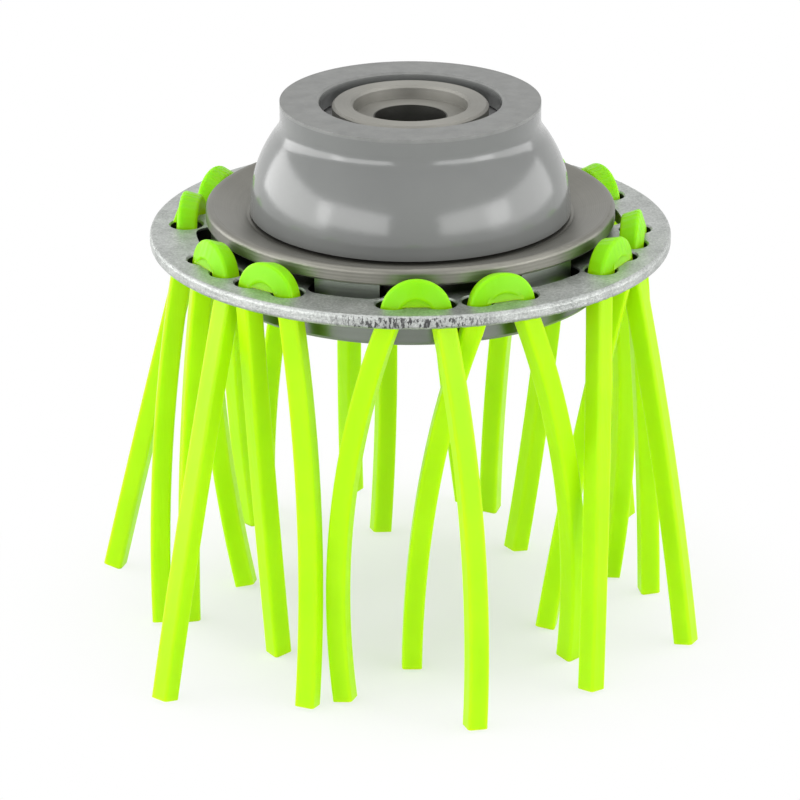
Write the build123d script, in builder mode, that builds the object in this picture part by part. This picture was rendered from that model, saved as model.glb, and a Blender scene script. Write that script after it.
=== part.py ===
"""Trimmer brush head: looped nylon line bristles in a steel ring, with a glide cup on a ball bearing."""

import os
from math import acos, asin, cos, degrees, radians, sin, tan

from build123d import *

os.makedirs("parts", exist_ok=True)

# Driving dimensions, in millimetres and degrees. The spindle axis is Z, and z = 0 is the face that seats on
# the gearbox. The head stands on its bristle tips. A compass bearing of 0 degrees is the front, -Y, and
# 90 degrees is the right, +X.

# Line ring: a flat steel plate that carries the bristles
ring_thickness = 2.0
ring_margin = 5.5  # from the middle of the loops to the ring's edge
ring_bore_radius = 12.0
ring_edge_round = 0.6
hole_radius = 2.35
hole_edge = 0.25  # bevel at the top of each hole, so that it doesn't cut the line
group_count = 6  # groups of two loops, with a slot between one group and the next
group_turn = 12.0  # compass bearing of the first group

# Bristles: square nylon line, bent over the ring in loops
line_width = 3.0
line_corner = 0.5
loop_margin = 1.3  # from the slots' outer edge to the middle of the loops
loop_offset = 10.6  # angle from the middle of a group to each of its loops
leg_spacing = 6.7  # between the two legs of a loop, where they pass through the ring
leg_splay = 14.0  # lean of the two legs away from each other, where they pass through the ring
loop_rise = 3.6  # height of a loop's crown over the ring
bristle_reach = 61.5  # from the ring's upper face down to the bristle tips
root_depth = 0.2  # straight length below the ring before a leg turns to its own lean
root_bend_radius = 6.0
tip_height = 0.4  # height of the middle of a cut tip over the level that the head stands on

# Lower hub: a drum under the ring, with lugs that stand up through the ring's slots and turn it
hub_radius = 29.5
hub_height = 5.8
hub_edge = 0.6
hub_wall = 4.0
hub_floor = 2.5
hub_boss_wall = 2.0
lug_thickness = 1.9
lug_sweep = 19.0
slot_inner_gap = 0.9  # from a lug to its slot, on the inside
slot_outer_gap = 2.2  # and on the outside
slot_end_inset = 3.0  # angle from a lug's end back to the centre of its slot's round end
arbor_seat_radius = 10.0  # takes a 20 mm arbor
arbor_seat_depth = 3.0

# Upper flange: a turned plate over the ring, hollowed like a dish. Its heights are over the ring's top.
flange_overhang = 0.7  # how far its rim stands out past the hub
flange_rim_bottom = 1.5
flange_rim_top = 3.9
flange_rim_land = 1.1
flange_rim_round = 0.7
flange_under_round = 0.4
flange_dish_height = 2.4
flange_dish_margin = 0.4  # from the cup's base out to the start of the dish's slope
flange_foot_gap = 0.7  # from the slots in to the foot that stands on the ring
flange_boss_wall = 0.6  # from the screw holes to the boss's edge
flange_boss_height = 4.6
flange_nose_radius = 9.6
flange_nose_height = 7.6

# Ball bearing, 15 x 32 x 9
bearing_bore_radius = 7.5
bearing_outer_radius = 16.0
bearing_width = 9.0
bearing_edge = 0.3
ball_count = 9
ball_share = 0.28  # ball radius over the distance from the bearing's bore to its outside
race_conformity = 1.04  # groove radius over ball radius
race_clearance = 0.02
shoulder_share = 0.65  # from the ball circle to the rings' shoulders, over ball radius
cage_share = 0.38  # from the ball circle to the cage's faces, over ball radius
cage_side = 0.72  # from a ball to the cage's edge
pocket_clearance = 0.06
shield_thickness = 0.4
shield_inset = 0.2  # from the bearing's face in to the shield
shield_seat_depth = 0.5
shield_gap = 0.25  # from a shield to the inner ring, which it doesn't touch

# Spindle bush: a stepped steel sleeve through the middle
bush_shoulder_radius = 9.6
bush_shoulder_height = 0.6
bush_rim_gap = 1.95  # from the rim out to the cup's hole
bush_rim_thickness = 1.9
bush_counterbore_radius = 8.45
bush_counterbore_depth = 2.0
bush_bore_radius = 5.25  # clears an M10 spindle
bush_edge = 0.35

# Retaining ring under the bearing
clip_thickness = 1.2
clip_groove_depth = 0.8
clip_width = 2.0
clip_opening = 36.0  # angle left open between its ends
clip_ear_radius = 1.8
clip_eye_radius = 0.9

# Glide cup: the smooth moulding that rides on the ground
cup_top_wall = 3.0
cup_neck_wall = 3.15
cup_lip = 2.55  # how far the top wall reaches in over the bearing
cup_base_gap = 0.5  # running gap over the flange
cup_base_radius = 23.7
cup_neck_height = 3.95  # from the cup's top down to the dome
cup_dome_level = 3.5  # height of the dome's widest level over the ring's upper face
cup_neck_round = 3.5
cup_top_round = 0.8
cup_hole_edge = 0.3
cup_wall = 2.6
cup_boss_wall = 2.5
cup_boss_land = 0.8  # length of bore below the retaining ring's groove
cup_core_height = 10.6  # height of the cored space's top over the ring's upper face
cup_rib_count = 8
cup_rib_thickness = 1.6

# Clamp screws: they hold hub, ring and flange together
screw_count = 3
screw_head_gap = 0.4  # from the heads to the hub's boss
screw_radius = 2.0
screw_length = 8.0
screw_head_radius = 3.4
screw_head_height = 2.2
screw_drive = 2.5  # across the flats of the hexagon in the head
screw_drive_depth = 1.2
screw_clearance = 0.2
screw_thread_run_out = 0.5

# Clearance between pieces that are pressed or screwed together
fit_clearance = 0.03
clip_clearance = 0.05

# How each leg leaves the ring and where it ends: the compass bearing it leans toward, its lean from the
# vertical, and how far its tip stands to the right of its hole and behind it, in hundredths of the leg's
# drop from the ring. The left leg comes first.
leg_routes = [
    [(-100, 20, -11.5, -1.0), (36, 19, 8.5, -16.5)],
    [(-140, 25, -15.5, 15.5), (118, 21, 13.0, 17.5)],
    [(0, 14, -1.5, -19.0), (-115, 13, -16.5, 8.5)],
    [(60, 13, 15.0, -10.5), (130, 7, 6.0, 10.0)],
    [(90, 10, 1.5, -6.0), (140, 16, 13.0, 25.0)],
    [(-70, 4, -10.0, -5.0), (-130, 10, -7.5, 15.0)],
    [(150, 9, 10.5, 14.0), (60, 4, -1.0, -7.5)],
    [(-170, 11, 0.0, 23.0), (-110, 15, -12.5, 13.0)],
    [(-170, 12, 3.5, 22.5), (-40, 3, 8.5, -9.0)],
    [(-110, 15, -23.0, 13.0), (-60, 12, -7.5, -11.5)],
    [(-140, 10, -6.0, 15.5), (-35, 18, -15.5, -22.5)],
    [(150, 6, 5.0, 11.5), (45, 11, 4.0, -12.5)],
]
# How far the square line is rolled in each loop
line_turns = [-20, -18, -15, -20, -12, -18, -15, 20, -18, -12, -20, -16]

# Sizes that follow from the ones above
arbor_face = 0
hub_bottom = arbor_face - arbor_seat_depth
ring_bottom = hub_bottom + hub_height
ring_top = ring_bottom + ring_thickness
tip_level = ring_top - bristle_reach
lug_inner_radius = hub_radius - lug_thickness
slot_inner_radius = lug_inner_radius - slot_inner_gap
slot_outer_radius = hub_radius + slot_outer_gap
slot_mid_radius = (slot_inner_radius + slot_outer_radius) / 2
slot_width = slot_outer_radius - slot_inner_radius
slot_sweep = lug_sweep - 2 * slot_end_inset
loop_radius = slot_outer_radius + loop_margin
ring_radius = loop_radius + ring_margin
splay_run = tan(radians(leg_splay))
crown_level = ring_top + loop_rise - line_width / 2
crown_drop = crown_level - (ring_top + ring_bottom) / 2
arch_shoulder = cos(radians(leg_splay)) - (1 - sin(radians(leg_splay))) * splay_run
arch_radius = (leg_spacing / 2 - crown_drop * splay_run) / arch_shoulder
hub_floor_bottom = ring_bottom - hub_floor
screw_circle_radius = arbor_seat_radius + hub_boss_wall + screw_head_gap + screw_head_radius
flange_boss_radius = screw_circle_radius + screw_radius + flange_boss_wall
flange_radius = hub_radius + flange_overhang
flange_underside = ring_top + flange_rim_bottom
bearing_bottom = ring_top + flange_nose_height
bearing_mid = bearing_bottom + bearing_width / 2
bearing_top = bearing_bottom + bearing_width
bush_seat_radius = bearing_bore_radius - fit_clearance
bush_rim_bottom = bearing_top + bush_shoulder_height
bush_top = bush_rim_bottom + bush_rim_thickness
counterbore_floor = bush_top - bush_counterbore_depth
cup_top = bearing_top + cup_top_wall
cup_base = ring_top + flange_dish_height + cup_base_gap
cup_bore_radius = bearing_outer_radius + fit_clearance
clip_bottom = bearing_bottom - clip_thickness
ball_circle_radius = (bearing_bore_radius + bearing_outer_radius) / 2
ball_radius = ball_share * (bearing_outer_radius - bearing_bore_radius)
race_radius = ball_radius * race_conformity
inner_shoulder_radius = ball_circle_radius - shoulder_share * ball_radius
outer_shoulder_radius = ball_circle_radius + shoulder_share * ball_radius
cage_inner_radius = ball_circle_radius - cage_share * ball_radius
cage_outer_radius = ball_circle_radius + cage_share * ball_radius
cage_width = 2 * (ball_radius + cage_side)
cup_hole_radius = bearing_outer_radius - cup_lip
bush_rim_radius = cup_hole_radius - bush_rim_gap

# Compass bearings of what repeats round the axis
group_pitch = 360 / group_count
group_bearings = [group_turn + index * group_pitch for index in range(group_count)]
slot_bearings = [bearing + group_pitch / 2 for bearing in group_bearings]
loop_bearings = [bearing + side * loop_offset for bearing in group_bearings for side in (-1, 1)]
screw_bearings = [group_turn + index * 360 / screw_count for index in range(screw_count)]


def compass(bearing, radius, height=0):
    """A point at a compass bearing round the spindle axis."""
    return Vector(radius * sin(radians(bearing)), -radius * cos(radians(bearing)), height)


def tangent_way(bearing):
    """The horizontal direction round the axis at a compass bearing."""
    return Vector(cos(radians(bearing)), sin(radians(bearing)), 0)


def leg_hole(bearing, side, height=0):
    """Where a loop's left (side -1) or right (side 1) leg passes through the ring."""
    return compass(bearing, loop_radius, height) + tangent_way(bearing) * (side * leg_spacing / 2)


def facing(bearing):
    """A turn about Z that brings what is drawn on +X to a compass bearing."""
    return Rotation(0, 0, bearing - 90)


# Line ring
with BuildPart() as line_ring:
    with BuildSketch(Plane.XY.offset(ring_bottom)):
        Circle(ring_radius)
        Circle(ring_bore_radius, mode=Mode.SUBTRACT)
        for bearing in slot_bearings:
            with Locations(facing(bearing)):
                with BuildLine(mode=Mode.PRIVATE) as slot_middle:
                    CenterArc((0, 0), slot_mid_radius, -slot_sweep / 2, slot_sweep)
                SlotArc(slot_middle.edge(), slot_width, mode=Mode.SUBTRACT)
        with Locations([compass(bearing, screw_circle_radius) for bearing in screw_bearings]):
            Circle(screw_radius + screw_clearance, mode=Mode.SUBTRACT)
    extrude(amount=ring_thickness)
    fillet(line_ring.faces().sort_by(Axis.Z)[-1].outer_wire().edges(), radius=ring_edge_round)
    fillet(line_ring.faces().sort_by(Axis.Z)[0].outer_wire().edges(), radius=ring_edge_round)
    with Locations([leg_hole(bearing, side, ring_top) for bearing in loop_bearings for side in (-1, 1)]):
        CounterSinkHole(hole_radius, hole_radius + hole_edge, ring_thickness, counter_sink_angle=90)
line_ring.part.label = "line_ring"
export_step(line_ring.part, "parts/line_ring.step")

# Line loops: each is one length of square line, over the ring and down through two holes
up = Vector(0, 0, 1)
for number, (bearing, routes, turn) in enumerate(zip(loop_bearings, leg_routes, line_turns), start=1):
    along = tangent_way(bearing)
    crown = compass(bearing, loop_radius, crown_level)
    with BuildPart() as line_loop:
        for side, (toward, lean, tip_right, tip_back) in zip((-1, 1), routes):
            hole = leg_hole(bearing, side, (ring_top + ring_bottom) / 2)
            splay_way = along * (side * sin(radians(leg_splay))) - up * cos(radians(leg_splay))
            lean_way = compass(toward, sin(radians(lean)), -cos(radians(lean)))
            spring_reach = arch_radius * cos(radians(leg_splay))
            spring_drop = arch_radius * (1 - sin(radians(leg_splay)))
            spring = crown + along * (side * spring_reach) - up * spring_drop
            root = hole + splay_way * ((ring_thickness / 2 + root_depth) / cos(radians(leg_splay)))
            bend_run = root_bend_radius * tan(radians(splay_way.get_angle(lean_way)) / 2)
            knee = root + (splay_way + lean_way) * bend_run
            leg_drop = hole.Z - tip_level
            tip_offset = Vector(tip_right, tip_back, 0) * (leg_drop / 100)
            tip = Vector(hole.X, hole.Y, tip_level + tip_height) + tip_offset
            with BuildLine() as leg_route:
                TangentArc(crown, spring, tangent=along * side)
                Line(spring, root)
                TangentArc(root, knee, tangent=splay_way)
                TangentArc(knee, tip, tangent=lean_way)
            with BuildSketch(Plane(crown, x_dir=up, z_dir=along)):
                RectangleRounded(line_width, line_width, line_corner, rotation=turn)
            sweep(path=leg_route.wire())
        split(bisect_by=Plane.XY.offset(tip_level), keep=Keep.TOP)
    line_loop.part.label = f"line_loop_{number:02d}"
    export_step(line_loop.part, f"parts/line_loop_{number:02d}.step")

# Lower hub
with BuildPart() as lower_hub:
    with BuildSketch(Plane.XZ):
        with BuildLine():
            Polyline(
                (bearing_bore_radius, ring_top),
                (ring_bore_radius - fit_clearance, ring_top),
                (ring_bore_radius - fit_clearance, ring_bottom),
                (hub_radius, ring_bottom),
                (hub_radius, hub_bottom),
                (hub_radius - hub_wall, hub_bottom),
                (hub_radius - hub_wall, hub_floor_bottom),
                (arbor_seat_radius + hub_boss_wall, hub_floor_bottom),
                (arbor_seat_radius + hub_boss_wall, hub_bottom),
                (arbor_seat_radius, hub_bottom),
                (arbor_seat_radius, arbor_face),
                (bearing_bore_radius, arbor_face),
                close=True,
            )
        make_face()
    revolve(axis=Axis.Z)
    hub_underside = lower_hub.faces().filter_by(Plane.XY).sort_by(Axis.Z)[:2]
    chamfer(hub_underside.sort_by(SortBy.AREA)[-1].outer_wire().edges(), length=hub_edge)
    with BuildSketch(Plane.XY.offset(ring_bottom)):
        for bearing in slot_bearings:
            with BuildLine(Plane(facing(bearing))):
                outer_arc = CenterArc((0, 0), hub_radius, -lug_sweep / 2, lug_sweep)
                inner_arc = CenterArc((0, 0), lug_inner_radius, -lug_sweep / 2, lug_sweep)
                Line(outer_arc @ 0, inner_arc @ 0)
                Line(outer_arc @ 1, inner_arc @ 1)
            make_face()
    extrude(amount=flange_underside - ring_bottom)
    with Locations([compass(bearing, screw_circle_radius, hub_floor_bottom) for bearing in screw_bearings]):
        Cylinder(
            screw_radius + screw_clearance,
            hub_floor,
            align=(Align.CENTER, Align.CENTER, Align.MIN),
            mode=Mode.SUBTRACT,
        )
lower_hub.part.label = "lower_hub"
export_step(lower_hub.part, "parts/lower_hub.step")

# Upper flange
flange_foot_radius = slot_inner_radius - flange_foot_gap
with BuildPart() as upper_flange:
    with BuildSketch(Plane.XZ):
        with BuildLine():
            Polyline(
                (bearing_bore_radius, ring_top),
                (flange_foot_radius, ring_top),
                (flange_foot_radius, flange_underside),
                (flange_radius, flange_underside),
                (flange_radius, ring_top + flange_rim_top),
                (flange_radius - flange_rim_land, ring_top + flange_rim_top),
                (cup_base_radius + flange_dish_margin, ring_top + flange_dish_height),
                (flange_boss_radius, ring_top + flange_dish_height),
                (flange_boss_radius, ring_top + flange_boss_height),
                (flange_nose_radius, ring_top + flange_boss_height),
                (flange_nose_radius, bearing_bottom),
                (bearing_bore_radius, bearing_bottom),
                close=True,
            )
        flange_profile = make_face()
        rim_corners = flange_profile.vertices().group_by(Axis.X)[-1].sort_by(Axis.Y)
        fillet(rim_corners[-1], radius=flange_rim_round)
    revolve(axis=Axis.Z)
    with Locations([compass(bearing, screw_circle_radius, ring_top) for bearing in screw_bearings]):
        Cylinder(
            screw_radius + fit_clearance,
            screw_length - hub_floor - ring_thickness + screw_thread_run_out,
            align=(Align.CENTER, Align.CENTER, Align.MIN),
            mode=Mode.SUBTRACT,
        )
    fillet(
        upper_flange.edges().filter_by(GeomType.CIRCLE).sort_by(SortBy.RADIUS).filter_by_position(
            Axis.Z, flange_underside, flange_underside
        )[-1],
        radius=flange_under_round,
    )
upper_flange.part.label = "upper_flange"
export_step(upper_flange.part, "parts/upper_flange.step")

# Clamp screws: one group of three
with BuildPart() as clamp_screws:
    with Locations([compass(bearing, screw_circle_radius, hub_floor_bottom) for bearing in screw_bearings]):
        Cylinder(screw_radius, screw_length, align=(Align.CENTER, Align.CENTER, Align.MIN))
        Cylinder(screw_head_radius, screw_head_height, align=(Align.CENTER, Align.CENTER, Align.MAX))
    with BuildSketch(Plane.XY.offset(hub_floor_bottom - screw_head_height)):
        with Locations([compass(bearing, screw_circle_radius) for bearing in screw_bearings]):
            RegularPolygon(screw_drive / 2, 6, major_radius=False)
    extrude(amount=screw_drive_depth, mode=Mode.SUBTRACT)
clamp_screws.part.label = "clamp_screws"
export_step(clamp_screws.part, "parts/clamp_screws.step")

# Spindle bush
with BuildPart() as spindle_bush:
    with BuildSketch(Plane.XZ):
        with BuildLine():
            Polyline(
                (bush_bore_radius, arbor_face),
                (bush_seat_radius, arbor_face),
                (bush_seat_radius, bearing_top),
                (bush_shoulder_radius, bearing_top),
                (bush_shoulder_radius, bush_rim_bottom),
                (bush_rim_radius, bush_rim_bottom),
                (bush_rim_radius, bush_top),
                (bush_counterbore_radius, bush_top),
                (bush_counterbore_radius, counterbore_floor),
                (bush_bore_radius, counterbore_floor),
                close=True,
            )
        bush_profile = make_face()
        chamfer(bush_profile.vertices().group_by(Axis.Y)[-1], length=bush_edge)
    revolve(axis=Axis.Z)
spindle_bush.part.label = "spindle_bush"
export_step(spindle_bush.part, "parts/spindle_bush.step")

# Bearing inner ring
with BuildPart() as bearing_inner_ring:
    with BuildSketch(Plane.XZ):
        with Locations((bearing_bore_radius, bearing_mid)):
            inner_blank = Rectangle(
                inner_shoulder_radius - bearing_bore_radius, bearing_width, align=(Align.MIN, Align.CENTER)
            )
        chamfer(inner_blank.vertices().group_by(Axis.X)[0], length=bearing_edge)
        with Locations((ball_circle_radius - ball_radius - race_clearance + race_radius, bearing_mid)):
            Circle(race_radius, mode=Mode.SUBTRACT)
    revolve(axis=Axis.Z)
bearing_inner_ring.part.label = "bearing_inner_ring"
export_step(bearing_inner_ring.part, "parts/bearing_inner_ring.step")

# Bearing outer ring, with a seat for a shield at each face
shield_seat_radius = outer_shoulder_radius + shield_seat_depth
shield_seat_length = shield_inset + shield_thickness
with BuildPart() as bearing_outer_ring:
    with BuildSketch(Plane.XZ):
        with Locations((bearing_outer_radius, bearing_mid)):
            outer_blank = Rectangle(
                bearing_outer_radius - outer_shoulder_radius, bearing_width, align=(Align.MAX, Align.CENTER)
            )
        chamfer(outer_blank.vertices().group_by(Axis.X)[-1], length=bearing_edge)
        with Locations((ball_circle_radius + ball_radius + race_clearance - race_radius, bearing_mid)):
            Circle(race_radius, mode=Mode.SUBTRACT)
        with Locations((outer_shoulder_radius, bearing_bottom)):
            Rectangle(shield_seat_depth, shield_seat_length, align=Align.MIN, mode=Mode.SUBTRACT)
        with Locations((outer_shoulder_radius, bearing_top)):
            Rectangle(
                shield_seat_depth, shield_seat_length, align=(Align.MIN, Align.MAX), mode=Mode.SUBTRACT
            )
    revolve(axis=Axis.Z)
bearing_outer_ring.part.label = "bearing_outer_ring"
export_step(bearing_outer_ring.part, "parts/bearing_outer_ring.step")

# Bearing shields
shield_levels = {
    "bearing_shield_upper": bearing_top - shield_seat_length,
    "bearing_shield_lower": bearing_bottom + shield_inset,
}
for name, level in shield_levels.items():
    with BuildPart() as bearing_shield:
        with BuildSketch(Plane.XY.offset(level)):
            Circle(shield_seat_radius - fit_clearance)
            Circle(inner_shoulder_radius + shield_gap, mode=Mode.SUBTRACT)
        extrude(amount=shield_thickness)
    bearing_shield.part.label = name
    export_step(bearing_shield.part, f"parts/{name}.step")

# Bearing balls: one group
with BuildPart() as bearing_balls:
    with Locations((0, 0, bearing_mid)):
        with PolarLocations(ball_circle_radius, ball_count):
            Sphere(ball_radius)
bearing_balls.part.label = "bearing_balls"
export_step(bearing_balls.part, "parts/bearing_balls.step")

# Bearing cage, with a pocket round each ball
with BuildPart() as bearing_cage:
    with BuildSketch(Plane.XY.offset(bearing_mid)):
        Circle(cage_outer_radius)
        Circle(cage_inner_radius, mode=Mode.SUBTRACT)
    extrude(amount=cage_width / 2, both=True)
    with Locations((0, 0, bearing_mid)):
        with PolarLocations(ball_circle_radius, ball_count):
            Cylinder(
                ball_radius + pocket_clearance,
                2 * (cage_outer_radius - cage_inner_radius),
                rotation=(0, 90, 0),
                mode=Mode.SUBTRACT,
            )
bearing_cage.part.label = "bearing_cage"
export_step(bearing_cage.part, "parts/bearing_cage.step")

# Retaining ring: an open ring with two ears for pliers
clip_outer_radius = cup_bore_radius + clip_groove_depth - clip_clearance
clip_inner_radius = clip_outer_radius - clip_width
clip_ear_circle = clip_outer_radius - clip_ear_radius - clip_groove_depth
with BuildPart() as retaining_ring:
    with BuildSketch(Plane.XY.offset(clip_bottom)):
        with BuildLine():
            clip_outer = CenterArc((0, 0), clip_outer_radius, clip_opening / 2, 360 - clip_opening)
            clip_inner = CenterArc((0, 0), clip_inner_radius, clip_opening / 2, 360 - clip_opening)
            Line(clip_outer @ 0, clip_inner @ 0)
            Line(clip_outer @ 1, clip_inner @ 1)
        make_face()
        for side in (-1, 1):
            with PolarLocations(clip_ear_circle, 1, start_angle=side * clip_opening / 2):
                Circle(clip_ear_radius)
                Circle(clip_eye_radius, mode=Mode.SUBTRACT)
    extrude(amount=clip_thickness)
retaining_ring.part.label = "retaining_ring"
export_step(retaining_ring.part, "parts/retaining_ring.step")

# Glide cup: a neck over the bearing, then a dome down to the base, with a cored and ribbed inside
core_top = ring_top + cup_core_height
neck_radius = bearing_outer_radius + cup_neck_wall
dome_reach = cup_base_radius - neck_radius
dome_height = cup_top - cup_neck_height - (ring_top + cup_dome_level)
cup_dome_radius = (dome_reach**2 + dome_height**2) / (2 * dome_reach)
core_dome_radius = cup_dome_radius - cup_wall
dome_centre = (cup_base_radius - cup_dome_radius, ring_top + cup_dome_level)
neck_angle = degrees(acos((neck_radius - dome_centre[0]) / cup_dome_radius))
core_angle = degrees(asin((core_top - dome_centre[1]) / core_dome_radius))
cup_boss_radius = cup_bore_radius + cup_boss_wall
groove_radius = cup_bore_radius + clip_groove_depth
groove_bottom = clip_bottom - clip_clearance
cup_boss_bottom = groove_bottom - cup_boss_land
with BuildPart() as glide_cup:
    with BuildSketch(Plane.XZ):
        with BuildLine():
            dome = CenterArc(dome_centre, cup_dome_radius, 0, neck_angle)
            core_dome = CenterArc(dome_centre, core_dome_radius, 0, core_angle)
            Polyline(
                dome @ 1,
                (neck_radius, cup_top),
                (cup_hole_radius, cup_top),
                (cup_hole_radius, bearing_top),
                (cup_bore_radius, bearing_top),
                (cup_bore_radius, bearing_bottom),
                (groove_radius, bearing_bottom),
                (groove_radius, groove_bottom),
                (cup_bore_radius, groove_bottom),
                (cup_bore_radius, cup_boss_bottom),
                (cup_boss_radius, cup_boss_bottom),
                (cup_boss_radius, core_top),
                core_dome @ 1,
            )
            Polyline(
                core_dome @ 0,
                (cup_base_radius - cup_wall, cup_base),
                (cup_base_radius, cup_base),
                dome @ 0,
            )
        cup_profile = make_face()
        fillet(cup_profile.vertices().sort_by_distance(dome @ 1)[0], radius=cup_neck_round)
        fillet(cup_profile.vertices().sort_by_distance((neck_radius, cup_top))[0], radius=cup_top_round)
    revolve(axis=Axis.Z)
    with BuildSketch(Plane.XY.offset(cup_boss_bottom)):
        with PolarLocations(cup_boss_radius - cup_boss_wall / 2, cup_rib_count):
            Rectangle(
                cup_base_radius - cup_wall / 2 - cup_boss_radius,
                cup_rib_thickness,
                align=(Align.MIN, Align.CENTER),
            )
    extrude(amount=core_top - cup_boss_bottom)
    top_edges = glide_cup.edges().filter_by(GeomType.CIRCLE).filter_by_position(Axis.Z, cup_top, cup_top)
    chamfer(top_edges.sort_by(SortBy.RADIUS)[0], length=cup_hole_edge)
glide_cup.part.label = "glide_cup"
export_step(glide_cup.part, "parts/glide_cup.step")
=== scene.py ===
# %% [markdown]
# # A brush head for a grass trimmer
#
# The real head is a steel ring with loops of bright nylon line through it. The ring is clamped between a
# drum and a dished flange, and a grey cup turns on a ball bearing on top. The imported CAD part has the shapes
# of all these pieces. This lesson gives each piece its finish, adds the nylon that is squeezed flat under
# each bend, and sets up a small photo studio round the head.

# %% Load the part
import math

import bpy
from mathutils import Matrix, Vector


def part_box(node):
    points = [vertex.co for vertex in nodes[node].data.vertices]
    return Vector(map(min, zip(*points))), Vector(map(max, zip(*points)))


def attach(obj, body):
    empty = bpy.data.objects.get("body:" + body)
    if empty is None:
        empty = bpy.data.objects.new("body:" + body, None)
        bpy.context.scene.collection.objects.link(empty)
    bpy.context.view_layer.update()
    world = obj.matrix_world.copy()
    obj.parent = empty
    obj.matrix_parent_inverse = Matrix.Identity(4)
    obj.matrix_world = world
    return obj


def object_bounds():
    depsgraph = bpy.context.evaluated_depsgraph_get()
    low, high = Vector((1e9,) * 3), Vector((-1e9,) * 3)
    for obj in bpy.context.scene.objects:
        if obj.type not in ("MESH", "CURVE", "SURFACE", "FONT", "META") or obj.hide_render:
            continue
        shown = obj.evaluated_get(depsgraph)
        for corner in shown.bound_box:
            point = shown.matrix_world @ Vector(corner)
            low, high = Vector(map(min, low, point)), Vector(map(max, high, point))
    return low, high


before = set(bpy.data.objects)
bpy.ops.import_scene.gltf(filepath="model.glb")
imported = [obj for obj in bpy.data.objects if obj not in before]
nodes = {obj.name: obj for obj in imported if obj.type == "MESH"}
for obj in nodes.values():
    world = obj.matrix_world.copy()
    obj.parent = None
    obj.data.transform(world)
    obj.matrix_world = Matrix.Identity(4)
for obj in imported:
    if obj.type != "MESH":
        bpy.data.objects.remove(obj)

cad_low, cad_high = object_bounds()
print("pieces:", len(nodes), "height in mm:", round((cad_high[2] - cad_low[2]) * 1000, 1))

# %% [markdown]
# ## The camera
#
# The head was photographed with a long lens from a little above. A short lens close up would frame it as
# well, but it would swell the front of the ring, so the lens is long and far away. A small sideways shift
# puts the spindle axis where it is in the picture.

# %% Place the camera
image_width = 800
focal_pixels = 4190
axis_pixel = 410.4
camera_distance = 0.630
camera_tilt = math.radians(21.61)
aim_below_ring = 0.02765
ring_low, ring_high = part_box("line_ring")
look_at = Vector((0, 0, ring_high.z - aim_below_ring))
toward_camera = Vector((0, -math.cos(camera_tilt), math.sin(camera_tilt)))

camera = bpy.data.objects.new("camera", bpy.data.cameras.new("camera"))
camera.location = look_at + toward_camera * camera_distance
camera.rotation_euler = (math.pi / 2 - camera_tilt, 0, 0)
camera.data.sensor_width = 36
camera.data.lens = camera.data.sensor_width * focal_pixels / image_width
camera.data.shift_x = 0.5 - axis_pixel / image_width
camera.data.clip_start = 0.01
bpy.context.scene.collection.objects.link(camera)
bpy.context.scene.camera = camera
print("lens in mm:", round(camera.data.lens, 1), "shift:", round(camera.data.shift_x, 4))

# %% [markdown]
# ## Starting a finish
#
# Every finish below is one Principled shader with a few texture nodes in front of it. They could be placed
# by hand in the shader editor. Written out, they can be read, repeated and changed. These three helpers start
# a material, add a node to it and join two sockets.

# %% Helpers that start a finish
def start_finish(name, values):
    """A new material whose Principled shader has these values on its own sockets."""
    finish = bpy.data.materials.new(name)
    finish.use_nodes = True
    shader = finish.node_tree.nodes["Principled BSDF"]
    for socket, value in values.items():
        shader.inputs[socket].default_value = value
    return finish, shader


def add_node(finish, kind, settings=None, values=None):
    """A new node in a finish, with settings on the node and values on its input sockets."""
    node = finish.node_tree.nodes.new(kind)
    for name, value in (settings or {}).items():
        setattr(node, name, value)
    for name, value in (values or {}).items():
        node.inputs[name].default_value = value
    return node


def join(finish, source, target):
    """Join an output socket to an input socket."""
    finish.node_tree.links.new(source, target)


print("ready to start a finish")

# %% [markdown]
# ## Where a mark sits
#
# A maker's marks follow the piece: a lathe leaves rings round the axis, a die leaves lines along the pull.
# So each mark needs to know where on the piece it is. Object coordinates give that in metres and stay with
# the piece when it turns. The next helpers give those coordinates, their three axes, and the distance from
# the spindle axis.

# %% Helpers for places
tenth_mm = 0.0001


def part_coordinates(finish, stretch=(1, 1, 1)):
    """Coordinates in metres that stay with the piece, stretched per axis."""
    coordinates = add_node(finish, "ShaderNodeTexCoord")
    mapping = add_node(finish, "ShaderNodeMapping", values={"Scale": stretch})
    join(finish, coordinates.outputs["Object"], mapping.inputs["Vector"])
    return mapping.outputs["Vector"]


def split_axes(finish, place):
    """The X, Y and Z of a place, as value sockets."""
    axes = add_node(finish, "ShaderNodeSeparateXYZ")
    join(finish, place, axes.inputs["Vector"])
    return axes.outputs["X"], axes.outputs["Y"], axes.outputs["Z"]


def work_out(finish, operation, *inputs):
    """A math node on sockets and plain numbers, as a value socket."""
    node = add_node(finish, "ShaderNodeMath", {"operation": operation})
    for socket, value in zip(node.inputs, inputs):
        if isinstance(value, (int, float)):
            socket.default_value = value
        else:
            join(finish, value, socket)
    return node.outputs["Value"]


def axis_distance(finish, x, y):
    """How far a place is from the spindle axis."""
    squares = [work_out(finish, "MULTIPLY", side, side) for side in (x, y)]
    return work_out(finish, "SQRT", work_out(finish, "ADD", *squares))


print("ready to find a place on a piece")

# %% [markdown]
# ## How strong a mark is
#
# A mark is seldom the same all over, and it fades in and out instead of stopping at a line. These helpers
# make soft noise, stretch a value to other limits, and fade a value in softly.

# %% Helpers for the strength of a mark
def noise(finish, place, scale, detail=3, roughness=0.5):
    """Soft noise, as a value socket. Scale is in features a metre."""
    settings = {"Scale": scale, "Detail": detail, "Roughness": roughness}
    texture = add_node(finish, "ShaderNodeTexNoise", values=settings)
    join(finish, place, texture.inputs["Vector"])
    return texture.outputs["Fac"]


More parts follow.
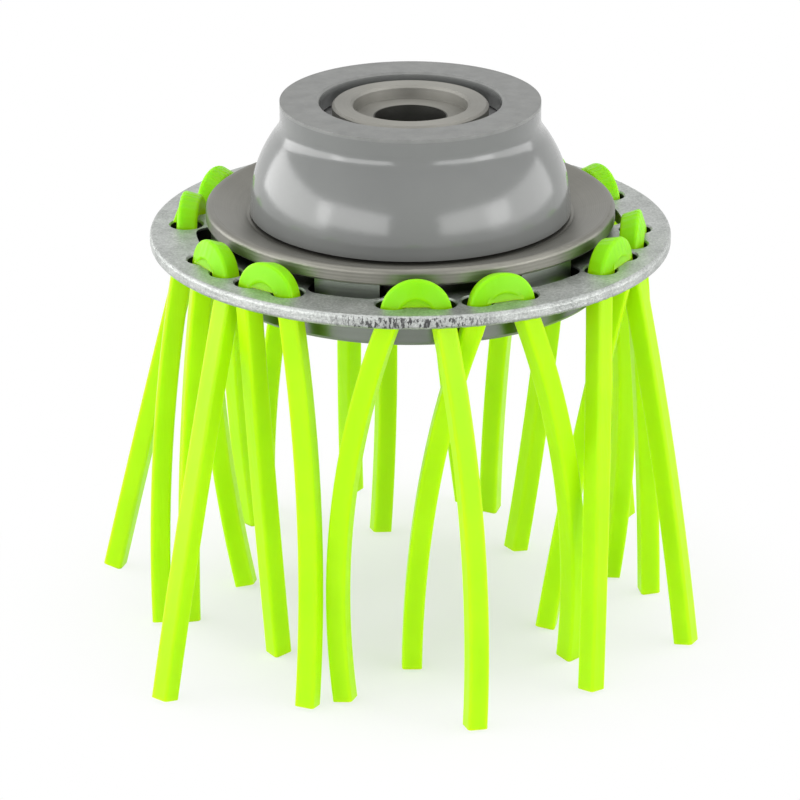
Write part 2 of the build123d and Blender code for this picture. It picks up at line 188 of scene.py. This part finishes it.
def spread(finish, value, low, high):
    """Stretch a value from 0..1 to low..high."""
    node = add_node(finish, "ShaderNodeMapRange", values={"To Min": low, "To Max": high})
    join(finish, value, node.inputs["Value"])
    return node.outputs["Result"]


def fade_in(finish, value, start, end, low=0.0, high=1.0):
    """Go softly from low to high while a value goes from start to end."""
    limits = {"From Min": start, "From Max": end, "To Min": low, "To Max": high}
    node = add_node(finish, "ShaderNodeMapRange", {"interpolation_type": "SMOOTHSTEP"}, limits)
    join(finish, value, node.inputs["Value"])
    return node.outputs["Result"]


print("ready to weigh a mark")

# %% [markdown]
# ## What a mark changes
#
# A mark changes the colour of a surface or its height. These helpers pick a tone between two, lay one tone
# over another, and raise small bumps. Bumps only turn the light, so they are kept for marks that are too fine
# to have a shape of their own.

# %% Helpers for tones and bumps
def tint(finish, value, dark, light):
    """A colour between two, by a value."""
    ramp = add_node(finish, "ShaderNodeValToRGB")
    for element, position, colour in zip(ramp.color_ramp.elements, (0.3, 0.7), (dark, light)):
        element.position = position
        element.color = (*colour, 1)
    join(finish, value, ramp.inputs["Fac"])
    return ramp.outputs["Color"]


def lay_over(finish, share, under, over):
    """One colour mixed over another by a share. Each is a socket or a plain colour."""
    mix = add_node(finish, "ShaderNodeMix", {"data_type": "RGBA"})
    join(finish, share, mix.inputs["Factor"])
    for name, colour in (("A", under), ("B", over)):
        if isinstance(colour, tuple):
            mix.inputs[name].default_value = (*colour, 1)
        else:
            join(finish, colour, mix.inputs[name])
    return mix.outputs["Result"]


def roughen(finish, shader, height, strength, depth):
    """Bump from a height value. Depth is in metres."""
    bump = add_node(finish, "ShaderNodeBump", values={"Strength": strength, "Distance": depth})
    join(finish, height, bump.inputs["Height"])
    join(finish, bump.outputs["Normal"], shader.inputs["Normal"])


print("ready to make marks")

# %% [markdown]
# ## Nylon line
#
# The bristles are extruded square line in a fluorescent yellow-green. Light goes a little way into the nylon
# before it comes out again, so the shader scatters light under the surface. The dye also turns light that the
# eye can't see into yellow-green, so the line looks brighter than its surroundings. The renderer has no such
# light, and a small light of the line's own stands for it.

# %% Start the line's finish
line_finish, line_shader = start_finish("fluorescent_nylon_line", {
    "Roughness": 0.40,
    "IOR": 1.53,
    "Specular IOR Level": 0.16,
    "Subsurface Weight": 0.85,
    "Subsurface Radius": (0.9, 1.0, 0.3),
    "Subsurface Scale": 0.003,
    "Emission Color": (0.48, 0.74, 0.0, 1),
    "Emission Strength": 0.16,
})
line_place = part_coordinates(line_finish)
line_x, line_y, line_z = split_axes(line_finish, line_place)
print("line finish:", line_finish.name)

# %% [markdown]
# Along the free legs the tone drifts a little, as dye does in an extrusion. Over the ring the loops are
# painted a deeper green as painted shade, for the dark steel under the thin nylon there, so that tone is laid
# over the first one from the ring's underside upward.

# %% Colour the line
# The deeper crown green is painted shade for the dark ring seen through the nylon.
crown_shade_green = (0.19, 0.60, 0.001)
clouds = noise(line_finish, line_place, scale=110, detail=2)
free_tone = tint(line_finish, clouds, dark=(0.345, 0.655, 0.001), light=(0.385, 0.695, 0.003))
crown_shade_share = fade_in(line_finish, line_z, ring_low.z, ring_high.z + 4 * tenth_mm)
line_tone = lay_over(line_finish, crown_shade_share, free_tone, crown_shade_green)
join(line_finish, line_tone, line_shader.inputs["Base Color"])
print("deeper green from", round(ring_low.z * 1000, 1), "mm up")

# %% [markdown]
# Where the line bends over the ring, its skin folds into small ridges across each crown. They are a wave of
# the angle round the spindle, let in only above the ring. The loops at the front are smooth, so the wave grows
# toward the sides and the back.

# %% Fold the skin over the crowns
ridge_pitch = 0.0011
loop_circle = 0.033
ridges_a_turn = 2 * math.pi * loop_circle / ridge_pitch
front_loops = -0.024
side_loops = -0.010
crown_angle = work_out(line_finish, "ARCTAN2", line_y, line_x)
ridges = work_out(line_finish, "SINE", work_out(line_finish, "MULTIPLY", crown_angle, ridges_a_turn))
over_ring = fade_in(line_finish, line_z, ring_high.z + 8 * tenth_mm, ring_high.z + 22 * tenth_mm)
away_from_front = fade_in(line_finish, line_y, front_loops, side_loops, low=0.05, high=0.7)
ridge_depth = work_out(line_finish, "MULTIPLY", over_ring, away_from_front)
crown_ridges = work_out(line_finish, "MULTIPLY", ridges, ridge_depth)
print("ridges in a whole turn:", round(ridges_a_turn))

# %% [markdown]
# The die leaves faint draw lines along the line. They are noise stretched along the height, because the legs
# hang nearly upright. The draw lines and the ridges are added up into one height for the bumps.

# %% Draw the line
draw_stretch = (1, 1, 0.03)
draw_lines = noise(line_finish, part_coordinates(line_finish, draw_stretch), scale=1600, detail=4)
line_height = work_out(line_finish, "ADD", draw_lines, crown_ridges)
roughen(line_finish, line_shader, line_height, strength=0.35, depth=2 * tenth_mm)
print("line finish:", len(line_finish.node_tree.nodes), "nodes")

# %% [markdown]
# ## Cup plastic
#
# The glide cup is a smooth grey moulding with a fairly sharp gloss, so large soft lights show in it as pale
# panels. A flat colour would look like paint, so the tone drifts a little, and the gloss is broken by a very
# fine ripple like the skin of a moulding.

# %% Start the cup's finish
cup_finish, cup_shader = start_finish("moulded_grey_plastic", {"IOR": 1.5, "Specular IOR Level": 0.6})
cup_place = part_coordinates(cup_finish)
flow_marks = noise(cup_finish, cup_place, scale=60, detail=4)
wall_tone = tint(cup_finish, flow_marks, dark=(0.155, 0.161, 0.157), light=(0.178, 0.184, 0.179))
wall_gloss = spread(cup_finish, flow_marks, 0.13, 0.21)
skin_ripple = noise(cup_finish, cup_place, scale=900, detail=2)
roughen(cup_finish, cup_shader, skin_ripple, strength=0.04, depth=2 * tenth_mm)
print("cup finish:", cup_finish.name)

# %% [markdown]
# The cup's top face is duller than its wall and faintly mottled, and its tone is painted lighter as painted
# light, for the light that falls on it from above. It could be a second material on that face. One material
# that changes with the height keeps the soft edge of the moulding, so the top's tone and its extra roughness
# are let in over the last fraction of a millimetre.

# %% Dull the cup's top face and paint light on it
top_roughness = 0.30
_, cup_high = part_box("glide_cup")
cup_z = split_axes(cup_finish, cup_place)[2]
on_top = fade_in(cup_finish, cup_z, cup_high.z - 8 * tenth_mm, cup_high.z - tenth_mm)
mottle = noise(cup_finish, cup_place, scale=420, detail=5, roughness=0.65)
top_painted_light_tone = tint(cup_finish, mottle, dark=(0.165, 0.169, 0.163), light=(0.225, 0.229, 0.221))
join(cup_finish, lay_over(cup_finish, on_top, wall_tone, top_painted_light_tone), cup_shader.inputs["Base Color"])
top_gloss = work_out(cup_finish, "MULTIPLY", on_top, top_roughness)
join(cup_finish, work_out(cup_finish, "ADD", wall_gloss, top_gloss), cup_shader.inputs["Roughness"])
print("cup finish:", len(cup_finish.node_tree.nodes), "nodes")

# %% [markdown]
# ## Turned steel
#
# The flange, the drum and the bush come off a lathe, and the tool leaves fine rings round the axis. The rings
# are a sine of the radius. Noise of the radius adds uneven bands, which keep the rings from looking drawn with
# a compass. A wall has one radius all the way up, so a share of the height is added to carry the rings on.

# %% Rings from the lathe
wall_climb = 0.7


def lathe_rings(finish, ring_pitch):
    """Even grooves of this pitch, in metres, and uneven bands round the axis, as value sockets."""
    x, y, z = split_axes(finish, part_coordinates(finish))
    climb = work_out(finish, "MULTIPLY", z, wall_climb)
    reach = work_out(finish, "ADD", axis_distance(finish, x, y), climb)
    grooves = work_out(finish, "SINE", work_out(finish, "MULTIPLY", reach, 2 * math.pi / ring_pitch))
    band_place = add_node(finish, "ShaderNodeCombineXYZ")
    join(finish, reach, band_place.inputs["X"])
    bands = noise(finish, band_place.outputs["Vector"], scale=1500, detail=4, roughness=0.7)
    return grooves, bands


print("ready to cut rings")

# %% [markdown]
# The rings stretch each highlight into a streak across them, so the shader is anisotropic with its tangent
# round the axis. The bands and some larger stains share the say over tone and roughness.

# %% A finish for turned steel
groove_share = 0.3
groove_depth = 0.00008


def turned_steel(name, dark, light, rough_low, rough_high, ring_pitch, groove_strength):
    """Lathe-turned metal with a colour between two tones."""
    metal = {"Metallic": 1.0, "Anisotropic": 0.6, "Anisotropic Rotation": 0.25}
    finish, shader = start_finish(name, metal)
    grooves, bands = lathe_rings(finish, ring_pitch)
    stains = noise(finish, part_coordinates(finish), scale=130, detail=5, roughness=0.6)
    halves = [work_out(finish, "MULTIPLY", mark, 0.5) for mark in (bands, stains)]
    tone = work_out(finish, "ADD", *halves)
    join(finish, tint(finish, tone, dark, light), shader.inputs["Base Color"])
    join(finish, spread(finish, tone, rough_low, rough_high), shader.inputs["Roughness"])
    tangent = add_node(finish, "ShaderNodeTangent", {"direction_type": "RADIAL", "axis": "Z"})
    join(finish, tangent.outputs["Tangent"], shader.inputs["Tangent"])
    height = work_out(finish, "ADD", work_out(finish, "MULTIPLY", grooves, groove_share), bands)
    roughen(finish, shader, height, groove_strength, groove_depth)
    return finish, shader


print("ready to turn steel")

# %% [markdown]
# The flange is cut fairly coarsely and is a warm grey, the drum is finer and glossier, and the bush is the
# palest and the dullest. Steel mirrors the white studio, so its own tone is set low.

# %% Turn the flange, the drum and the bush
flange_finish, _ = turned_steel(
    "turned_flange_steel", dark=(0.165, 0.162, 0.141), light=(0.24, 0.235, 0.208),
    rough_low=0.36, rough_high=0.50, ring_pitch=0.00035, groove_strength=0.15)
drum_finish, drum_shader = turned_steel(
    "turned_drum_steel", dark=(0.15, 0.168, 0.142), light=(0.215, 0.235, 0.205),
    rough_low=0.26, rough_high=0.36, ring_pitch=0.00016, groove_strength=0.05)
bush_finish, bush_shader = turned_steel(
    "turned_bush_steel", dark=(0.235, 0.23, 0.207), light=(0.315, 0.31, 0.285),
    rough_low=0.50, rough_high=0.62, ring_pitch=0.00025, groove_strength=0.12)
print("turned finishes:", flange_finish.name, drum_finish.name, bush_finish.name)

# %% [markdown]
# The drum's face under the ring is painted dark as painted shade, for the shade that falls there. It shows
# only at the ends of the ring's slots. A thin layer at the height of the ring's underside gives it, and the
# wall and the lugs stay bright.

# %% Paint shade on the drum's seat
painted_shade_tone = (0.02, 0.021, 0.019)


def paint_shade(finish, shader, share):
    """Lay painted shade, a dark tone, over a finish's own colour, by a share."""
    colour = shader.inputs["Base Color"]
    bare = colour.links[0].from_socket
    join(finish, lay_over(finish, share, bare, painted_shade_tone), colour)


drum_z = split_axes(drum_finish, part_coordinates(drum_finish))[2]
above_wall = fade_in(drum_finish, drum_z, ring_low.z - 3 * tenth_mm, ring_low.z - tenth_mm)
below_lugs = fade_in(drum_finish, drum_z, ring_low.z + 6 * tenth_mm, ring_low.z + tenth_mm)
paint_shade(drum_finish, drum_shader, work_out(drum_finish, "MULTIPLY", above_wall, below_lugs))
print("drum finish:", len(drum_finish.node_tree.nodes), "nodes")

# %% [markdown]
# The bush's bore is painted darker than the turned faces round it, as painted shade inside the hole. It is
# told from them by the distance from the axis.

# %% Paint shade in the bush's bore
bore_radius = 0.00525
bush_x, bush_y, _ = split_axes(bush_finish, part_coordinates(bush_finish))
bush_reach = axis_distance(bush_finish, bush_x, bush_y)
in_bore = fade_in(bush_finish, bush_reach, bore_radius + 3 * tenth_mm, bore_radius + tenth_mm, high=0.8)
paint_shade(bush_finish, bush_shader, in_bore)
print("bush finish:", len(bush_finish.node_tree.nodes), "nodes")

# %% [markdown]
# ## Zinc plate
#
# The ring is punched from zinc-plated sheet: pale, matt and finely grained. One plain grey would look like
# paint, so noise at two scales gives the cloudy plating and its grain.

# %% Plate the ring
cloud_share = 0.35
ring_finish, ring_shader = start_finish("zinc_plated_steel", {"Metallic": 1.0})
ring_place = part_coordinates(ring_finish)
plating = noise(ring_finish, ring_place, scale=240, detail=6, roughness=0.65)
grain = noise(ring_finish, ring_place, scale=3000, detail=4, roughness=0.7)
plating_part = work_out(ring_finish, "MULTIPLY", plating, cloud_share)
grain_part = work_out(ring_finish, "MULTIPLY", grain, 1 - cloud_share)
zinc = work_out(ring_finish, "ADD", plating_part, grain_part)
zinc_tone = tint(ring_finish, zinc, dark=(0.20, 0.213, 0.20), light=(0.63, 0.65, 0.63))
join(ring_finish, spread(ring_finish, grain, 0.30, 0.58), ring_shader.inputs["Roughness"])
print("ring finish:", ring_finish.name)

# %% [markdown]
# The punch leaves a rough sheared edge that glitters. The same grain is deeper there. It is let in by the
# distance from the axis, so that only the rim has it.

# %% Deepen the grain at the rim
rim_radius = ring_high.x
ring_x, ring_y, ring_z = split_axes(ring_finish, ring_place)
ring_reach = axis_distance(ring_finish, ring_x, ring_y)
at_rim = fade_in(ring_finish, ring_reach, rim_radius - 8 * tenth_mm, rim_radius - 2 * tenth_mm, low=0.25)
rim_grain = work_out(ring_finish, "MULTIPLY", grain, at_rim)
roughen(ring_finish, ring_shader, rim_grain, strength=0.5, depth=0.00025)
print("rim at radius in mm:", round(rim_radius * 1000, 1))

# %% [markdown]
# The front of the rim has a patch of dark upright specks. They are noise stretched along the height and cut
# off sharply, let in only on the outer edge and only at the front.

# %% Speckle the front of the rim
speck_stretch = (1, 1, 0.4)
speck_limits = {"From Min": 0.48, "From Max": 0.56, "To Max": 0.95}
speck_tone = (0.06, 0.06, 0.06)
specked = noise(ring_finish, part_coordinates(ring_finish, speck_stretch), scale=2300, detail=3, roughness=0.6)
specks = add_node(ring_finish, "ShaderNodeMapRange", values=speck_limits)
join(ring_finish, specked, specks.inputs["Value"])
at_front = fade_in(ring_finish, ring_y, ring_low.y + 26 * tenth_mm, ring_low.y + 2 * tenth_mm)
on_edge = fade_in(ring_finish, ring_reach, rim_radius - 3 * tenth_mm, rim_radius - tenth_mm)
front_edge = work_out(ring_finish, "MULTIPLY", at_front, on_edge)
front_specks = work_out(ring_finish, "MULTIPLY", specks.outputs["Result"], front_edge)
specked_tone = lay_over(ring_finish, front_specks, zinc_tone, speck_tone)
print("torn edge at", round(ring_low.y * 1000, 1), "mm")

# %% [markdown]
# The walls of the slots and the line holes are cut through the plating, so they are bare steel, and they are
# painted nearly black as painted shade inside the cuts. They are told from the faces by their height, which is
# between the two faces, and from the rim by the distance from the axis.

# %% Darken the walls of the cuts
bare_steel_shade_tone = (0.03, 0.032, 0.03)
below_face = fade_in(ring_finish, ring_z, ring_high.z - tenth_mm, ring_high.z - 4 * tenth_mm)
above_back = fade_in(ring_finish, ring_z, ring_low.z, ring_low.z + tenth_mm)
inside_rim = fade_in(ring_finish, ring_reach, rim_radius - 10 * tenth_mm, rim_radius - 16 * tenth_mm)
in_sheet = work_out(ring_finish, "MULTIPLY", below_face, above_back)
in_cuts = work_out(ring_finish, "MULTIPLY", in_sheet, inside_rim)
cut_tone = lay_over(ring_finish, in_cuts, specked_tone, bare_steel_shade_tone)
join(ring_finish, cut_tone, ring_shader.inputs["Base Color"])
print("cut walls from", round(ring_low.z * 1000, 1), "to", round(ring_high.z * 1000, 1), "mm")

# %% [markdown]
# Under the flange the ring gets the same painted shade as the drum's seat, for the shade in the low gap
# between the two, and it thins out toward the flange's rim.

# %% Paint shade on the ring under the flange
_, flange_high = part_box("upper_flange")
flange_radius = flange_high.x
shade_under_flange = fade_in(ring_finish, ring_reach, flange_radius, flange_radius - 18 * tenth_mm, high=0.9)
paint_shade(ring_finish, ring_shader, shade_under_flange)
print("ring finish:", len(ring_finish.node_tree.nodes), "nodes")

# %% [markdown]
# ## The hidden metal
#
# Inside the cup sit a ball bearing, its shields and a spring ring, and screws hold the plates from below.
# They show only in the dark gap round the bush and from underneath, so each has a plain metal finish with a
# little grain.

# %% Finishes of the bearing, the spring ring and the screws
def plain_metal(name, dark, light, rough_low, rough_high, grain_scale):
    """Metal with a fine even grain, between two tones."""
    finish, shader = start_finish(name, {"Metallic": 1.0})
    speckle = noise(finish, part_coordinates(finish), grain_scale, detail=4)
    join(finish, tint(finish, speckle, dark, light), shader.inputs["Base Color"])
    join(finish, spread(finish, speckle, rough_low, rough_high), shader.inputs["Roughness"])
    roughen(finish, shader, speckle, strength=0.1, depth=0.00005)
    return finish


race_finish = plain_metal(
    "ground_bearing_steel", dark=(0.55, 0.55, 0.55), light=(0.66, 0.66, 0.66),
    rough_low=0.10, rough_high=0.22, grain_scale=1800)
shield_finish = plain_metal(
    "pressed_shield_steel", dark=(0.36, 0.36, 0.36), light=(0.46, 0.46, 0.46),
    rough_low=0.30, rough_high=0.45, grain_scale=900)
spring_finish = plain_metal(
    "blackened_spring_steel", dark=(0.05, 0.05, 0.05), light=(0.09, 0.09, 0.09),
    rough_low=0.35, rough_high=0.50, grain_scale=1200)
screw_finish = plain_metal(
    "zinc_plated_screws", dark=(0.46, 0.46, 0.44), light=(0.60, 0.60, 0.57),
    rough_low=0.28, rough_high=0.42, grain_scale=1400)
print("hidden metal:", race_finish.name, shield_finish.name, spring_finish.name, screw_finish.name)

# %% [markdown]
# The cage that keeps the balls apart is moulded nylon, not metal. It is cream, a little translucent, and dull.

# %% Finish of the cage
cage_finish, cage_shader = start_finish("moulded_cage_nylon", {
    "Subsurface Weight": 0.1,
    "Subsurface Scale": 0.001,
})
cage_grain = noise(cage_finish, part_coordinates(cage_finish), scale=1300)
cage_tone = tint(cage_finish, cage_grain, dark=(0.50, 0.46, 0.36), light=(0.60, 0.56, 0.45))
join(cage_finish, cage_tone, cage_shader.inputs["Base Color"])
join(cage_finish, spread(cage_finish, cage_grain, 0.45, 0.6), cage_shader.inputs["Roughness"])
print("cage finish:", cage_finish.name)

# %% [markdown]
# ## Dress the pieces
#
# The CAD nodes have the right shapes, so none is replaced. Each takes its finish by name, and what isn't in
# the list is a loop of line.

# %% Give each piece its finish
finishes = {
    "line_ring": ring_finish,
    "lower_hub": drum_finish,
    "upper_flange": flange_finish,
    "clamp_screws": screw_finish,
    "spindle_bush": bush_finish,
    "bearing_inner_ring": race_finish,
    "bearing_outer_ring": race_finish,
    "bearing_balls": race_finish,
    "bearing_shield_upper": shield_finish,
    "bearing_shield_lower": shield_finish,
    "bearing_cage": cage_finish,
    "retaining_ring": spring_finish,
    "glide_cup": cup_finish,
}
for name, piece in nodes.items():
    piece.data.materials.clear()
    piece.data.materials.append(finishes.get(name, line_finish))
loops = [piece for name, piece in nodes.items() if name.startswith("line_loop")]
print("dressed:", len(nodes), "pieces, of which loops of line:", len(loops))

# %% [markdown]
# ## The squeezed side of each bend
#
# The line is pulled so tightly over the ring that the nylon on the inside of the bend is squeezed down onto
# the steel and fills the low arch under the crown. A swept section keeps its shape in a bend, so it leaves
# that arch open. A small pad of the same nylon closes it. Its outline is the low arch itself: a piece of a
# circle whose centre is under the ring's face.

# %% Draw the arch that a pad fills
arch_radius = 0.0031
arch_centre = -0.0012
pad_floor = 0.00003
pad_steps = 16
half_arch = math.sqrt(arch_radius**2 - (pad_floor - arch_centre) ** 2)
arch_runs = [half_arch * (2 * step / pad_steps - 1) for step in range(pad_steps + 1)]
arch_outline = [(run, math.sqrt(arch_radius**2 - run**2) + arch_centre) for run in arch_runs]
print("arch width in mm:", round(2 * half_arch * 1000, 2), "points:", len(arch_outline))

# %% [markdown]
# Each pad is placed from its own loop. The points that stand well over the ring give the middle of the crown,
# and the highest of them tells which way the line is rolled, so the pad's sloping front goes on that side.

# %% Shape one pad for each loop
crown_height = 0.0015
pad_front = 0.0021
pad_back = -0.0012
front_slope = 0.3


def pad_points(loop):
    """Front and back points of the pad under one loop, in turn along the arch."""
    points = [loop.matrix_world @ vertex.co for vertex in loop.data.vertices]
    crown = [point for point in points if point.z > ring_high.z + crown_height]
    crown_middle = sum(crown, Vector()) / len(crown)
    outward = Vector((crown_middle.x, crown_middle.y, 0)).normalized()
    around = Vector((-outward.y, outward.x, 0))
    foot = Vector((crown_middle.x, crown_middle.y, ring_high.z))
    rolled = 1 if (max(crown, key=lambda point: point.z) - foot).dot(outward) > 0 else -1
    pad = []
    for run, height in arch_outline:
        middle = foot + around * run + Vector((0, 0, height))
        pad.append(middle + outward * (pad_front - front_slope * height) * rolled)
        pad.append(middle + outward * pad_back * rolled)
    return pad


def pad_faces(start):
    """Front, back and side faces of a pad whose first point has this number."""
    count = len(arch_outline)
    front = [start + 2 * step for step in range(count)]
    back = [corner + 1 for corner in front]
    sides = [[front[step - 1], back[step - 1], back[step], front[step]] for step in range(count)]
    return [front, back[::-1], *sides]


all_points = []
all_faces = []
for loop in loops:
    all_faces += pad_faces(len(all_points))
    all_points += pad_points(loop)
print("pads:", len(loops), "faces:", len(all_faces))

# %% [markdown]
# The pads are one small mesh, because they are one material and never move against the ring. They ride the
# head's body, as the loops do.

# %% Add the pads
pad_mesh = bpy.data.meshes.new("squeezed_line")
pad_mesh.from_pydata(all_points, [], all_faces)
pad_mesh.materials.append(line_finish)
pads = bpy.data.objects.new("squeezed_line", pad_mesh)
bpy.context.scene.collection.objects.link(pads)
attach(pads, "head")
print("added:", pads.name)

# %% [markdown]
# ## The floor
#
# The head stands on a plain pale sheet. It is large, so that no edge of it comes into the picture, and it
# lies at the height of the lowest bristle tip.

# %% Lay the floor
floor_reach = 6.0
floor_signs = ((-1, -1), (1, -1), (1, 1), (-1, 1))
floor_corners = [(floor_reach * x, floor_reach * y, cad_low[2]) for x, y in floor_signs]
floor_mesh = bpy.data.meshes.new("floor")
floor_mesh.from_pydata(floor_corners, [], [(0, 1, 2, 3)])
floor = bpy.data.objects.new("floor", floor_mesh)
bpy.context.scene.collection.objects.link(floor)
print("floor at height in mm:", round(cad_low[2] * 1000, 1))

# %% [markdown]
# A very strong lamp would make the studio white, but it would also wash out the head. Light Path tells which
# rays come from the camera, a reflection or a see-through surface. Those rays can be shown plain white, while
# the light that falls on the head stays as it is.

# %% Tell the rays apart
def seen_rays(owner):
    """1 for rays that the camera, a reflection or a see-through surface sends out, and 0 for the rest."""
    rays = add_node(owner, "ShaderNodeLightPath").outputs
    direct = work_out(owner, "MAXIMUM", rays["Is Camera Ray"], rays["Is Glossy Ray"])
    return work_out(owner, "MAXIMUM", direct, rays["Is Transmission Ray"])


print("ready to tell rays apart")

# %% [markdown]
# Near the head the sheet is mostly an ordinary matt surface, which keeps the shadow. Further out it fades to
# plain white for the rays that are seen, so that no horizon shows.

# %% Finish of the floor
floor_finish, floor_shader = start_finish("pale_floor", {
    "Base Color": (0.94, 0.94, 0.94, 1),
    "Roughness": 0.9,
    "Specular IOR Level": 0.1,
})
floor_x, floor_y, _ = split_axes(floor_finish, part_coordinates(floor_finish))
floor_distance = axis_distance(floor_finish, floor_x, floor_y)
whitened = fade_in(floor_finish, floor_distance, start=0.005, end=0.07, low=0.4)
white_share = work_out(floor_finish, "MULTIPLY", seen_rays(floor_finish), whitened)
white = add_node(floor_finish, "ShaderNodeEmission")
floor_mixer = add_node(floor_finish, "ShaderNodeMixShader")
join(floor_finish, white_share, floor_mixer.inputs["Fac"])
join(floor_finish, floor_shader.outputs["BSDF"], floor_mixer.inputs[1])
join(floor_finish, white.outputs["Emission"], floor_mixer.inputs[2])
floor_output = floor_finish.node_tree.nodes["Material Output"]
join(floor_finish, floor_mixer.outputs["Shader"], floor_output.inputs["Surface"])
floor_mesh.materials.append(floor_finish)
print("floor finish:", len(floor_finish.node_tree.nodes), "nodes")

# %% [markdown]
# ## The world
#
# The world is the white room round the head. The same rays that see the white floor see it as plain white, so
# the background and the reflections agree. It lights the head with a softer grey, because a white room would
# leave no shade for the lamps to shape.

# %% Set the world
world = bpy.data.worlds.new("studio")
bpy.context.scene.world = world
world.use_nodes = True
soft_grey = world.node_tree.nodes["Background"]
soft_grey.inputs["Color"].default_value = (1, 1, 1, 1)
soft_grey.inputs["Strength"].default_value = 0.48
plain_white = add_node(world, "ShaderNodeBackground", values={"Color": (1, 1, 1, 1), "Strength": 1.0})
world_mixer = add_node(world, "ShaderNodeMixShader")
join(world, seen_rays(world), world_mixer.inputs["Fac"])
join(world, soft_grey.outputs["Background"], world_mixer.inputs[1])
join(world, plain_white.outputs["Background"], world_mixer.inputs[2])
join(world, world_mixer.outputs["Shader"], world.node_tree.nodes["World Output"].inputs["Surface"])
print("world strength:", round(soft_grey.inputs["Strength"].default_value, 2))

# %% [markdown]
# ## The lights
#
# Four low, wide soft boxes stand round the front and the sides, and a fifth hangs overhead. The cup's dome
# mirrors the low ones as pale panels with a darker field between them, and the one overhead lights the flat
# faces. Small lamps would do for the shade alone, but the cup would show them as hard dots.

# %% Hang the soft boxes
def soft_box(name, place, aim, width, height, power):
    """A rectangular area light at a place, turned toward another place."""
    light = bpy.data.lights.new(name, "AREA")
    light.shape = "RECTANGLE"
    light.size = width
    light.size_y = height
    light.energy = power
    lamp = bpy.data.objects.new(name, light)
    lamp.location = place
    lamp.rotation_euler = (Vector(aim) - Vector(place)).to_track_quat("-Z", "Y").to_euler()
    bpy.context.scene.collection.objects.link(lamp)
    return lamp


light_aim = (0, 0, 0.01)
boxes = [
    soft_box("left_box", (-0.60, 0.06, 0.09), light_aim, width=0.90, height=0.26, power=2.5),
    soft_box("front_left_box", (-0.41, -0.45, 0.12), light_aim, width=0.62, height=0.20, power=1.4),
    soft_box("front_right_box", (0.45, -0.41, 0.11), light_aim, width=0.62, height=0.20, power=1.3),
    soft_box("right_box", (0.60, 0.0, 0.09), light_aim, width=0.80, height=0.24, power=1.4),
    soft_box("top_box", (0.0, 0.05, 0.65), light_aim, width=1.5, height=0.45, power=2.6),
]
bpy.context.scene.view_settings.view_transform = "Standard"
print("lights:", [box.name for box in boxes])
